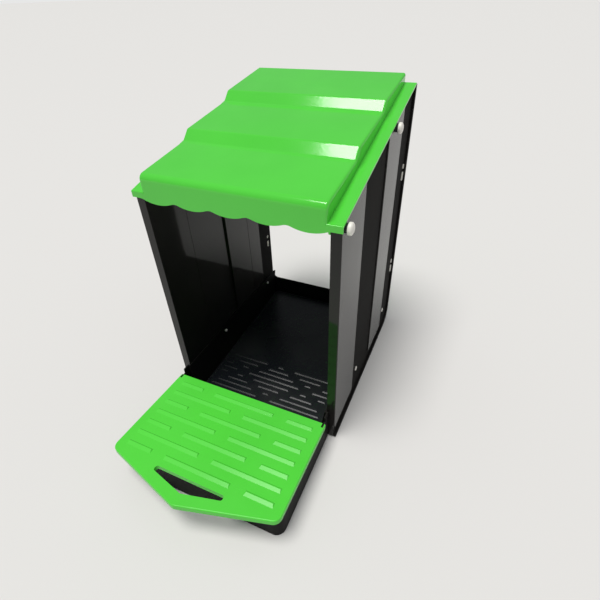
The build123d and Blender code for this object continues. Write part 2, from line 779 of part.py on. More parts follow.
# ---------------------------------------------------------------- roof knobs, washers and nuts
washer_start = outer_half + stack_gap
head_start = washer_start + washer_thickness + stack_gap
nut_outer = inner_half - tab_panel_gap - tab_thickness - stack_gap
shank_end = nut_outer - nut_thickness - shank_past_nut

for place, centre in knob_centres.items():
    for name, side in sides.items():
        axis = Axis((0, *centre), (1, 0, 0))
        with BuildPart() as knob:
            with BuildSketch(lathe_plane(side, head_start, centre)):
                with BuildLine():
                    Polyline((knob_head, 0), (0, 0), (0, knob_radius - knob_shoulder))
                    Polyline(
                        (0, knob_radius - knob_shoulder),
                        (knob_shoulder, knob_radius),
                        (knob_rim, knob_radius),
                    )
                    EllipticalCenterArc(
                        (knob_rim, 0), knob_head - knob_rim, knob_radius, start_angle=0, arc_size=90
                    )
                make_face()
            revolve(axis=axis)
            with BuildSketch(lathe_plane(side, shank_end, centre)):
                with BuildLine():
                    Polyline(
                        (0, 0),
                        (0, shank_radius - shank_tip),
                        (shank_tip, shank_radius),
                        (head_start - shank_end + knob_shoulder, shank_radius),
                        (head_start - shank_end + knob_shoulder, 0),
                        close=True,
                    )
                make_face()
            revolve(axis=axis)
        save(knob.part, f"roof_knob_{place}_{name}")

        with BuildPart() as washer:
            with BuildSketch(side_plane(side * (washer_start + washer_thickness / 2) - washer_thickness / 2)):
                with Locations(centre):
                    Circle(washer_radius)
                    Circle(shank_hole, mode=Mode.SUBTRACT)
            extrude(amount=washer_thickness)
        save(washer.part, f"knob_washer_{place}_{name}")

        with BuildPart() as nut:
            with BuildSketch(side_plane(side * (nut_outer - nut_thickness / 2) - nut_thickness / 2)):
                with Locations(centre):
                    RegularPolygon(nut_across_flats / 2, 6, major_radius=False)
                    Circle(shank_hole, mode=Mode.SUBTRACT)
            extrude(amount=nut_thickness)
            chamfer(nut.edges().filter_by(Axis.X, reverse=True).filter_by(GeomType.LINE), shank_tip / 2)
        save(nut.part, f"knob_nut_{place}_{name}")

# ---------------------------------------------------------------- base pins
# the tray's wall leans, so the pin's tip starts where the leaning wall's inner face is furthest in
tip_start = tray_half - wall - tray_lean(pin_height - pin_tip_radius) - stack_gap
pin_head_start = band_level + stack_gap
for place, centre in pin_centres.items():
    for name, side in sides.items():
        with BuildPart() as base_pin:
            with BuildSketch(lathe_plane(side, tip_start - pin_tip, centre)):
                with BuildLine():
                    length = pin_head_start - tip_start + pin_tip
                    Polyline(
                        (0, 0),
                        (0, pin_radius),
                        (pin_tip - shank_tip, pin_tip_radius),
                        (pin_tip, pin_tip_radius),
                        (pin_tip, pin_radius),
                        (length, pin_radius),
                        (length, pin_head_radius),
                        (length + pin_head - pin_dome, pin_head_radius),
                    )
                    EllipticalCenterArc(
                        (length + pin_head - pin_dome, 0),
                        pin_dome,
                        pin_head_radius,
                        start_angle=0,
                        arc_size=90,
                    )
                    Line((length + pin_head, 0), (0, 0))
                make_face()
            revolve(axis=Axis((0, *centre), (1, 0, 0)))
        save(base_pin.part, f"base_pin_{place}_{name}")

# ---------------------------------------------------------------- white liners of the fixing holes
liner_inner = inner_half + flange_inset
liner_fit = fixing_bore_radius + liner_wall - liner_clearance
liner_length = fixing_slot_length - 2 * liner_clearance
bore_length = liner_length - 2 * (liner_fit - fixing_bore_radius)
for name, side in sides.items():
    for kind, rise in (("slot", 0.0), ("round", fixing_round_above)):
        places = [(y(panel_depth - fixing_from_rear), level + rise) for level in fixing_levels]
        with BuildPart() as liner:
            for start, depth, margin in (
                (liner_inner, band_level - liner_inner + stack_gap / 2, 0.0),
                (band_level + stack_gap / 2, liner_proud, liner_lip),
            ):
                with BuildSketch(side_plane(side * (start + depth / 2) - depth / 2)):
                    with Locations(*places):
                        if kind == "slot":
                            SlotOverall(liner_length + 2 * margin, 2 * (liner_fit + margin), rotation=90)
                            SlotOverall(bore_length, 2 * fixing_bore_radius, rotation=90, mode=Mode.SUBTRACT)
                        else:
                            Circle(liner_fit + margin)
                            Circle(fixing_bore_radius, mode=Mode.SUBTRACT)
                extrude(amount=depth)
        save(liner.part, f"fixing_liners_{kind}_{name}")
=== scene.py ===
"""Looks of a moulded nest box for hens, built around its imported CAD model.

Everything is in metres, in the model's own frame: +Y runs from the front of the nest to its rear, +Z is up
and X = 0 is the plane of symmetry. Places come from the boxes of the CAD nodes.
"""

import logging
import math
from dataclasses import dataclass, field
from enum import Enum
from typing import Iterable

import bmesh
import bpy
from mathutils import Matrix, Vector

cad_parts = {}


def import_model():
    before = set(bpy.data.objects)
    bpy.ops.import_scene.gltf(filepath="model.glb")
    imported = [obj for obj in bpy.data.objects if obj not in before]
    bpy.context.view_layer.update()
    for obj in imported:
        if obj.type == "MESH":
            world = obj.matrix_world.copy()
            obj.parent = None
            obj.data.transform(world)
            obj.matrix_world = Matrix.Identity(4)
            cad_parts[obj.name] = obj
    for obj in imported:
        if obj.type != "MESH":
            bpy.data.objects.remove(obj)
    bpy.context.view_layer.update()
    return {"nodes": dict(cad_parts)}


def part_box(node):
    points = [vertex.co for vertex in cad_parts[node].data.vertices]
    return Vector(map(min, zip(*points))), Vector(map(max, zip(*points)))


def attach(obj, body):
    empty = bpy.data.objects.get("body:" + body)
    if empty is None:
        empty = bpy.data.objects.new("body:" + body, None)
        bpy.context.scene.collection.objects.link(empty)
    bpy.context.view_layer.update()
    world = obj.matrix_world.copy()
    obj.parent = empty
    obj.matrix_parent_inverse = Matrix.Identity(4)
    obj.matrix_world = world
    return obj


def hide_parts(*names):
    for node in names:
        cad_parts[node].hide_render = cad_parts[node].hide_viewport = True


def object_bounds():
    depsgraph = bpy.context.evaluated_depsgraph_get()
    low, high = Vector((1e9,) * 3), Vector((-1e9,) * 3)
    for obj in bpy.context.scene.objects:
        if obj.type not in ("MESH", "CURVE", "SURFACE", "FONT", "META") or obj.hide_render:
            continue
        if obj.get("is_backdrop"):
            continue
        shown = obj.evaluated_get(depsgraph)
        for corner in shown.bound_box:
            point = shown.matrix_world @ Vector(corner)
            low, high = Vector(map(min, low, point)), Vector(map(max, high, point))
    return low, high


LOG = logging.getLogger("nest_box")
MM = 0.001
WASHER_GAP = 0.2 * MM                           # air on either side of a knob's washer
SMOOTH_BELOW = math.radians(40)                 # edges that turn by more than this stay sharp
Colour = tuple[float, float, float]
Ring = tuple[list[float], float]                # reach of each corner, and distance along the axis


class Side(Enum):
    """The two sides of the nest, with the sign of X on each."""

    LEFT = -1
    RIGHT = 1

    @property
    def word(self) -> str:
        """The side's name as the CAD nodes spell it."""
        return self.name.lower()


class Place(Enum):
    """Where a fastener sits along the nest."""

    FRONT = "front"
    REAR = "rear"


# ------------------------------------------------------------------ node tools
@dataclass
class NodeSheet:
    """A node tree with short ways to add and join nodes."""

    tree: bpy.types.NodeTree

    def add(self, kind: str, **settings: object) -> bpy.types.Node:
        """Adds a node.

        Args:
            kind: the node's type name.
            settings: properties of the node to set.

        Returns:
            The new node.
        """
        node = self.tree.nodes.new(kind)
        for name, value in settings.items():
            setattr(node, name, value)
        return node

    def feed(self, socket: bpy.types.NodeSocket, value: object) -> None:
        """Joins a socket to another one, or sets its value.

        Args:
            socket: the input to feed.
            value: an output socket, a number, a vector or a colour.
        """
        if isinstance(value, bpy.types.NodeSocket):
            self.tree.links.new(value, socket)
        elif isinstance(value, tuple) and len(value) == 3 and socket.type == "RGBA":
            socket.default_value = (*value, 1.0)
        else:
            socket.default_value = value

    def math(self, operation: str, *values: object, clamp: bool = False) -> bpy.types.NodeSocket:
        """Adds a Math node.

        Args:
            operation: what the node does.
            values: its inputs in order, each a socket or a number.
            clamp: whether the result is kept between 0 and 1.

        Returns:
            The node's output.
        """
        node = self.add("ShaderNodeMath", operation=operation, use_clamp=clamp)
        for socket, value in zip(node.inputs, values):
            self.feed(socket, value)
        return node.outputs[0]

    def noise(self, vector: bpy.types.NodeSocket, scale: object, detail: float = 2.0,
              roughness: float = 0.5) -> bpy.types.NodeSocket:
        """Adds a Noise Texture.

        Args:
            vector: where the noise is read.
            scale: how many of its waves fit in one unit.
            detail: how many finer layers it has.
            roughness: how strong the finer layers are.

        Returns:
            The noise as a value from 0 to 1.
        """
        node = self.add("ShaderNodeTexNoise")
        self.feed(node.inputs["Vector"], vector)
        self.feed(node.inputs["Scale"], scale)
        node.inputs["Detail"].default_value = detail
        node.inputs["Roughness"].default_value = roughness
        return node.outputs["Fac"]

    def ramp(self, value: object, low: object, high: object) -> bpy.types.NodeSocket:
        """Maps a value to a smooth step.

        Args:
            value: what is mapped.
            low: the value that gives 0, as all below it do.
            high: the value that gives 1, as all above it do.

        Returns:
            The step, from 0 to 1.
        """
        node = self.add("ShaderNodeMapRange", clamp=True, interpolation_type="SMOOTHSTEP")
        for name, number in (("Value", value), ("From Min", low), ("From Max", high)):
            self.feed(node.inputs[name], number)
        return node.outputs["Result"]

    def mix(self, factor: object, first: object, second: object) -> bpy.types.NodeSocket:
        """Mixes two colours.

        Args:
            factor: the share of the second colour.
            first: the colour at 0.
            second: the colour at 1.

        Returns:
            The mixed colour.
        """
        node = self.add("ShaderNodeMix", data_type="RGBA")
        factor_input, first_input, second_input, colour_output = 0, 6, 7, 2
        self.feed(node.inputs[factor_input], factor)
        self.feed(node.inputs[first_input], first)
        self.feed(node.inputs[second_input], second)
        return node.outputs[colour_output]

    def stretch(self, vector: bpy.types.NodeSocket, scale: tuple[float, float, float],
                turn: tuple[float, float, float] = (0.0, 0.0, 0.0)) -> bpy.types.NodeSocket:
        """Scales and turns a coordinate with a Mapping node.

        Args:
            vector: the coordinate.
            scale: its scale along each axis.
            turn: its turn about each axis, in radians.

        Returns:
            The new coordinate.
        """
        node = self.add("ShaderNodeMapping")
        self.feed(node.inputs["Vector"], vector)
        node.inputs["Rotation"].default_value = turn
        node.inputs["Scale"].default_value = scale
        return node.outputs["Vector"]


class EffectLibrary:
    """Shader node groups that several finishes share, each built once."""

    def __init__(self) -> None:
        """Builds every group."""
        self.skin = self._build_skin()
        self.scuffs = self._build_scuffs()
        self.drift = self._build_drift()
        self.rub = self._build_rub()
        self.level = self._build_level()

    @staticmethod
    def _open(name: str, inputs: Iterable[tuple[str, str, object]],
              outputs: Iterable[tuple[str, str]]) -> tuple[NodeSheet, bpy.types.Node, bpy.types.Node]:
        """Starts a node group.

        Args:
            name: the group's name.
            inputs: name, socket type and default of each input.
            outputs: name and socket type of each output.

        Returns:
            The sheet, the group's input node and its output node.
        """
        tree = bpy.data.node_groups.new(name, "ShaderNodeTree")
        for label, kind, default in inputs:
            socket = tree.interface.new_socket(label, in_out="INPUT", socket_type=kind)
            if default is not None:
                socket.default_value = default
        for label, kind in outputs:
            tree.interface.new_socket(label, in_out="OUTPUT", socket_type=kind)
        sheet = NodeSheet(tree)
        return sheet, sheet.add("NodeGroupInput"), sheet.add("NodeGroupOutput")

    def _build_skin(self) -> bpy.types.NodeTree:
        """Moulded skin: long shrinkage ripples, orange peel and a fine tool grain, as one normal."""
        sheet, given, result = self._open(
            "moulded_skin",
            [("Coordinates", "NodeSocketVector", None), ("Ripple", "NodeSocketFloat", 0.3),
             ("Peel", "NodeSocketFloat", 0.1), ("Grain", "NodeSocketFloat", 0.05),
             ("Grain Scale", "NodeSocketFloat", 2200.0)],
            [("Normal", "NodeSocketVector")],
        )
        where = given.outputs["Coordinates"]
        ripple = sheet.noise(where, scale=11.0, detail=1.0)
        peel = sheet.noise(where, scale=260.0, detail=2.0)
        grain = sheet.noise(where, scale=given.outputs["Grain Scale"], detail=3.0, roughness=0.65)
        normal = None
        for height, strength, distance in (
            (ripple, "Ripple", 6.0 * MM), (peel, "Peel", 0.4 * MM), (grain, "Grain", 0.12 * MM)
        ):
            bump = sheet.add("ShaderNodeBump")
            bump.inputs["Distance"].default_value = distance
            sheet.feed(bump.inputs["Strength"], given.outputs[strength])
            sheet.feed(bump.inputs["Height"], height)
            if normal is not None:
                sheet.feed(bump.inputs["Normal"], normal)
            normal = bump.outputs["Normal"]
        sheet.feed(result.inputs["Normal"], normal)
        return sheet.tree

    def _build_scuffs(self) -> bpy.types.NodeTree:
        """Handling marks: hair scratches in two directions, broken up in patches, and settled dust."""
        sheet, given, result = self._open(
            "handling_marks",
            [("Coordinates", "NodeSocketVector", None), ("Scratches", "NodeSocketFloat", 0.5),
             ("Dust", "NodeSocketFloat", 0.2)],
            [("Scratch Mask", "NodeSocketFloat"), ("Dust Mask", "NodeSocketFloat")],
        )
        where = given.outputs["Coordinates"]
        patches = sheet.ramp(sheet.noise(where, scale=14.0, detail=3.0), low=0.48, high=0.68)
        directions = (
            ((55.0, 1700.0, 900.0), (0.3, 0.2, 0.7)),
            ((1500.0, 60.0, 1100.0), (0.1, 0.5, -0.9)),
        )
        hairs = []
        for fineness, turn in directions:
            lines = sheet.noise(sheet.stretch(where, fineness, turn), scale=1.0, detail=1.0)
            hairs.append(sheet.ramp(lines, low=0.70, high=0.76))
        both = sheet.math("MAXIMUM", *hairs)
        masked = sheet.math("MULTIPLY", both, patches)
        sheet.feed(result.inputs["Scratch Mask"],
                   sheet.math("MULTIPLY", masked, given.outputs["Scratches"], clamp=True))
        geometry = sheet.add("ShaderNodeNewGeometry")
        split = sheet.add("ShaderNodeSeparateXYZ")
        sheet.feed(split.inputs[0], geometry.outputs["Normal"])
        upward = sheet.ramp(split.outputs["Z"], low=0.2, high=0.95)
        fine = sheet.noise(where, scale=900.0, detail=4.0, roughness=0.7)
        specks = sheet.ramp(fine, low=0.60, high=0.74)
        clouds = sheet.ramp(sheet.noise(where, scale=9.0, detail=4.0), low=0.40, high=0.75)
        haze_share = 0.35
        haze = sheet.math("MULTIPLY", clouds, haze_share)
        dust = sheet.math("MULTIPLY", sheet.math("ADD", specks, haze), upward)
        sheet.feed(result.inputs["Dust Mask"],
                   sheet.math("MULTIPLY", dust, given.outputs["Dust"], clamp=True))
        return sheet.tree

    def _build_drift(self) -> bpy.types.NodeTree:
        """Pigment that is not quite even: broad clouds and faint flow lines, as a colour."""
        sheet, given, result = self._open(
            "pigment_drift",
            [("Coordinates", "NodeSocketVector", None), ("Colour", "NodeSocketColor", (0.5, 0.5, 0.5, 1.0)),
             ("Deep Colour", "NodeSocketColor", (0.3, 0.3, 0.3, 1.0)), ("Amount", "NodeSocketFloat", 0.3)],
            [("Colour", "NodeSocketColor")],
        )
        where = given.outputs["Coordinates"]
        clouds = sheet.ramp(sheet.noise(where, scale=7.0, detail=3.0), low=0.35, high=0.70)
        along_flow = sheet.stretch(where, scale=(30.0, 4.0, 12.0))
        flow = sheet.noise(along_flow, scale=1.0, detail=3.0)
        flow_share = 0.4
        blend = sheet.math("MULTIPLY_ADD", flow, flow_share, clouds)
        factor = sheet.math("MULTIPLY", blend, given.outputs["Amount"], clamp=True)
        sheet.feed(result.inputs["Colour"],
                   sheet.mix(factor, given.outputs["Colour"], given.outputs["Deep Colour"]))
        return sheet.tree

    def _build_rub(self) -> bpy.types.NodeTree:
        """Rubbed edges, and painted edge highlights on the nest floor: a mask where the surface turns
        within a small radius, broken by noise.
        """
        sheet, given, result = self._open(
            "rubbed_edges_and_glints",
            [("Coordinates", "NodeSocketVector", None), ("Radius", "NodeSocketFloat", 1.2 * MM),
             ("Amount", "NodeSocketFloat", 0.5)],
            [("Mask", "NodeSocketFloat")],
        )
        bevel = sheet.add("ShaderNodeBevel", samples=4)
        sheet.feed(bevel.inputs["Radius"], given.outputs["Radius"])
        geometry = sheet.add("ShaderNodeNewGeometry")
        dot = sheet.add("ShaderNodeVectorMath", operation="DOT_PRODUCT")
        sheet.feed(dot.inputs[0], bevel.outputs["Normal"])
        sheet.feed(dot.inputs[1], geometry.outputs["Normal"])
        edge = sheet.ramp(sheet.math("SUBTRACT", 1.0, dot.outputs["Value"]), low=0.01, high=0.14)
        broken = sheet.noise(given.outputs["Coordinates"], scale=170.0, detail=4.0, roughness=0.7)
        chips = sheet.ramp(broken, low=0.42, high=0.62)
        sheet.feed(result.inputs["Mask"],
                   sheet.math("MULTIPLY", sheet.math("MULTIPLY", edge, chips), given.outputs["Amount"],
                              clamp=True))
        return sheet.tree

    def _build_level(self) -> bpy.types.NodeTree:
        """Recessed bands: a mask where a point lies at one distance from the plane of symmetry."""
        sheet, given, result = self._open(
            "band_level",
            [("Coordinates", "NodeSocketVector", None), ("Level", "NodeSocketFloat", 0.1575),
             ("Half Width", "NodeSocketFloat", 0.5 * MM), ("Front", "NodeSocketFloat", 0.0)],
            [("Mask", "NodeSocketFloat")],
        )
        split = sheet.add("ShaderNodeSeparateXYZ")
        sheet.feed(split.inputs[0], given.outputs["Coordinates"])
        away = sheet.math("ABSOLUTE", sheet.math("SUBTRACT", sheet.math("ABSOLUTE", split.outputs["X"]),
                                                 given.outputs["Level"]))
        outside = sheet.math("GREATER_THAN", away, given.outputs["Half Width"])
        behind = sheet.math("GREATER_THAN", split.outputs["Y"], given.outputs["Front"])
        sheet.feed(result.inputs["Mask"],
                   sheet.math("MULTIPLY", sheet.math("SUBTRACT", 1.0, outside), behind))
        return sheet.tree


# ------------------------------------------------------------------ finishes
@dataclass(frozen=True)
class Finish:
    """What a surface is made of. Colours are linear."""

    name: str
    slot: str
    colour: Colour
    deep_colour: Colour
    drift: float = 0.3
    metallic: float = 0.0
    roughness: float = 0.3
    specular: float = 0.5
    coat: float = 0.0
    coat_roughness: float = 0.05
    coat_ior: float = 1.5
    ripple: float = 0.2
    peel: float = 0.1
    grain: float = 0.1
    grain_scale: float = 2200.0
    scratches: float = 0.3
    dust: float = 0.1
    dust_colour: Colour = (0.42, 0.39, 0.34)
    # rub and rub colour: worn edges on most finishes; on the nest floor a painted highlight along edges and
    # ribs
    rub: float = 0.2
    rub_and_glint_colour: Colour = (0.3, 0.3, 0.3)
    matt_levels: tuple[float, ...] = ()         # distances from the plane of symmetry of matt faces
    matt_front: float = 0.0                     # nothing in front of this is matt
    scratch_roughness: float = 0.35             # what scratches, dust and matt faces add
    dust_roughness: float = 0.5
    matt_roughness: float = 0.25
    scratch_coat_loss: float = 0.5

    def material(self, effects: EffectLibrary) -> bpy.types.Material:
        """Builds the finish's material.

        Args:
            effects: the shared node groups.

        Returns:
            A material whose Principled BSDF stands in the material itself.
        """
        material = bpy.data.materials.new(self.name)
        material.use_nodes = True
        sheet = NodeSheet(material.node_tree)
        shader = material.node_tree.nodes["Principled BSDF"]
        where = sheet.add("ShaderNodeTexCoord").outputs["Object"]
        skin = self._place(sheet, effects.skin, where, Ripple=self.ripple, Peel=self.peel, Grain=self.grain,
                           **{"Grain Scale": self.grain_scale})
        marks = self._place(sheet, effects.scuffs, where, Scratches=self.scratches, Dust=self.dust)
        drift = self._place(sheet, effects.drift, where, Colour=self.colour, Amount=self.drift,
                            **{"Deep Colour": self.deep_colour})
        rub = self._place(sheet, effects.rub, where, Amount=self.rub)
        scratch, dust = marks.outputs["Scratch Mask"], marks.outputs["Dust Mask"]
        # edge colour: wear, and on the nest floor a painted edge highlight
        rubbed_and_glinting = sheet.mix(rub.outputs["Mask"], drift.outputs["Colour"], self.rub_and_glint_colour)
        dusty = sheet.mix(dust, rubbed_and_glinting, self.dust_colour)
        sheet.feed(shader.inputs["Base Color"], dusty)
        rough = sheet.math("MULTIPLY_ADD", scratch, self.scratch_roughness, self.roughness)
        rough = sheet.math("MULTIPLY_ADD", dust, self.dust_roughness, rough)
        if self.matt_levels:
            masks = [
                self._place(sheet, effects.level, where, Level=level, Front=self.matt_front).outputs["Mask"]
                for level in self.matt_levels
            ]
            matt = masks[0]
            for mask in masks[1:]:
                matt = sheet.math("MAXIMUM", matt, mask)
            rough = sheet.math("MULTIPLY_ADD", matt, self.matt_roughness, rough)
            worn = sheet.math("MULTIPLY_ADD", scratch, -self.scratch_coat_loss, self.coat)
            glossy = sheet.math("SUBTRACT", 1.0, matt)
            coat = sheet.math("MULTIPLY", worn, glossy, clamp=True)
            sheet.feed(shader.inputs["Coat Weight"], coat)
        else:
            shader.inputs["Coat Weight"].default_value = self.coat
        sheet.feed(shader.inputs["Roughness"], sheet.math("MINIMUM", rough, 1.0))
        shader.inputs["Metallic"].default_value = self.metallic
        shader.inputs["Specular IOR Level"].default_value = self.specular
        shader.inputs["Coat Roughness"].default_value = self.coat_roughness
        shader.inputs["Coat IOR"].default_value = self.coat_ior
        sheet.feed(shader.inputs["Normal"], skin.outputs["Normal"])
        return material

    @staticmethod
    def _place(sheet: NodeSheet, tree: bpy.types.NodeTree, where: bpy.types.NodeSocket,
               **values: object) -> bpy.types.Node:
        """Places a shared group in a material.

        Args:
            sheet: the material's nodes.
            tree: the group.
            where: the coordinates that it reads.
            values: the material's own values for the group's inputs.

        Returns:
            The group's node.
        """
        node = sheet.add("ShaderNodeGroup", node_tree=tree)
        sheet.feed(node.inputs["Coordinates"], where)
        for name, value in values.items():
            sheet.feed(node.inputs[name], value)
        return node


def green_finish(name: str, roughness: float, specular: float) -> Finish:
    """Bright green polypropylene of the roof and the egg lid, which is handled more and is duller.

    Args:
        name: the material's name.
        roughness: its roughness.
        specular: its specular level.

    Returns:
        The finish.
    """
    return Finish(
        name=name, slot="green_plastic",
        colour=(0.088, 0.640, 0.052), deep_colour=(0.066, 0.540, 0.038), drift=0.35,
        roughness=roughness, specular=specular, ripple=0.14, peel=0.08, grain=0.02,
        scratches=0.25, dust=0.05, dust_colour=(0.45, 0.60, 0.38), rub=0.25, rub_and_glint_colour=(0.16, 0.70, 0.11),
    )


def panel_finish(matt_levels: tuple[float, ...], front: float) -> Finish:
    """Black polypropylene of the side panels, glossy on the planks and grained in bands and flanges.

    Args:
        matt_levels: distances of the grained faces from the plane of symmetry.
        front: where the grained faces begin.

    Returns:
        The finish.
    """
    return Finish(
        name="black_panel_polypropylene", slot="black_panel",
        colour=(0.0058, 0.0054, 0.0048), deep_colour=(0.0100, 0.0090, 0.0078), drift=0.6,
        roughness=0.55, specular=0.10, coat=0.70, coat_roughness=0.06, coat_ior=1.42,
        ripple=0.10, peel=0.12, grain=0.25, grain_scale=1500.0,
        scratches=0.6, dust=0.05, rub=0.3, rub_and_glint_colour=(0.045, 0.043, 0.040),
        matt_levels=matt_levels, matt_front=front,
    )


def tray_finish() -> Finish:
    """Semi-gloss black of the base tray."""
    return Finish(
        name="black_tray_polypropylene", slot="black_tray",
        colour=(0.0055, 0.0055, 0.0052), deep_colour=(0.0095, 0.0092, 0.0085), drift=0.5,
        roughness=0.50, specular=0.05, ripple=0.12, peel=0.14, grain=0.12,
        scratches=0.5, dust=0.06, rub=0.35, rub_and_glint_colour=(0.040, 0.038, 0.036),
    )


def floor_finish() -> Finish:
    """Glossy black sheet of the ribbed nest floor, with a painted highlight along its edges and ribs."""
    return Finish(
        name="black_floor_sheet", slot="black_floor",
        colour=(0.0055, 0.0070, 0.0090), deep_colour=(0.0090, 0.0115, 0.0150), drift=0.5,
        roughness=0.27, specular=0.24, ripple=0.35, peel=0.12, grain=0.04,
        # the light edge colour here is a painted highlight along the floor's edges and ribs, not wear
        scratches=0.5, dust=0.08, rub=0.7, rub_and_glint_colour=(0.110, 0.112, 0.118),
    )


def white_finish() -> Finish:
    """Off-white moulded fasteners and liners."""
    return Finish(
        name="offwhite_nylon", slot="white_plastic",
        colour=(0.84, 0.82, 0.76), deep_colour=(0.74, 0.70, 0.62), drift=0.4,
        roughness=0.36, specular=0.5, ripple=0.05, peel=0.10, grain=0.08,
        scratches=0.3, dust=0.15, rub=0.15, rub_and_glint_colour=(0.80, 0.78, 0.72),
    )


def rubber_finish() -> Finish:
    """Dark rubber washers."""
    return Finish(
        name="washer_rubber", slot="washer_rubber",
        colour=(0.020, 0.022, 0.028), deep_colour=(0.035, 0.036, 0.040), drift=0.5,
        roughness=0.62, specular=0.35, ripple=0.05, peel=0.10, grain=0.35, grain_scale=3200.0,
        scratches=0.1, dust=0.25, rub=0.3, rub_and_glint_colour=(0.07, 0.07, 0.07),
    )


def steel_finish() -> Finish:
    """Zinc-plated steel of the nuts and hinge pins, a little yellowed."""
    return Finish(
        name="zinc_plated_steel", slot="steel",
        colour=(0.55, 0.50, 0.40), deep_colour=(0.40, 0.30, 0.18), drift=0.6, metallic=1.0,
        roughness=0.34, specular=0.5, ripple=0.05, peel=0.05, grain=0.2, grain_scale=2600.0,
        scratches=0.7, dust=0.1, rub=0.3, rub_and_glint_colour=(0.70, 0.68, 0.62),
    )


# ------------------------------------------------------------------ mesh tools
def show(name: str, mesh: bpy.types.Mesh, material: bpy.types.Material) -> bpy.types.Object:
    """Puts a mesh in the scene as one smooth piece.

    Args:
        name: the piece's name.
        mesh: its mesh, in the model's frame.
        material: its material.

    Returns:
        The new object.
    """
    piece = bpy.data.objects.new(name, mesh)
    bpy.context.scene.collection.objects.link(piece)
    mesh.materials.append(material)
    mesh.shade_smooth()
    mesh.set_sharp_from_angle(angle=SMOOTH_BELOW)
    return piece


def dress(node: bpy.types.Object, material: bpy.types.Material) -> None:
    """Gives a CAD node its material.

    Args:
        node: the CAD node.
        material: its material.
    """
    node.data.materials.clear()
    node.data.materials.append(material)


@dataclass
class SubAssembly:
    """A group of pieces that share finishes."""

    nodes: dict[str, bpy.types.Object]
    materials: dict[str, bpy.types.Material]
    pieces: list[str] = field(default_factory=list)

    def finish_node(self, name: str, slot: str, look: str = "") -> None:
        """Dresses one CAD node with its slot's finish, or with another look of the same slot."""
        dress(self.nodes[name], self.materials[look or slot])
        self.pieces.append(name)

    def build(self) -> list[str]:
        """Builds and dresses the pieces, and returns their names."""
        raise NotImplementedError


@dataclass
class SidePanels(SubAssembly):
    """The two double-walled side panels with their planks and bands."""

    def build(self) -> list[str]:
        """Dresses both panels.

        Returns:
            The names of the pieces.
        """
        for side in Side:
            self.finish_node(f"{side.word}_side_panel", "black_panel")
        return self.pieces


@dataclass
class BaseAndLid(SubAssembly):
    """The base tray, the nest floor in it, the egg lid and its hinge pins."""

    def build(self) -> list[str]:
        """Dresses the tray, floor, lid and pins.

        Returns:
            The names of the pieces.
        """
        self.finish_node("base_tray", "black_tray")
        self.finish_node("nest_floor", "black_floor")
        self.finish_node("egg_lid", "green_plastic", look="egg_lid")
        for side in Side:
            self.finish_node(f"hinge_pin_{side.word}", "steel")
        return self.pieces


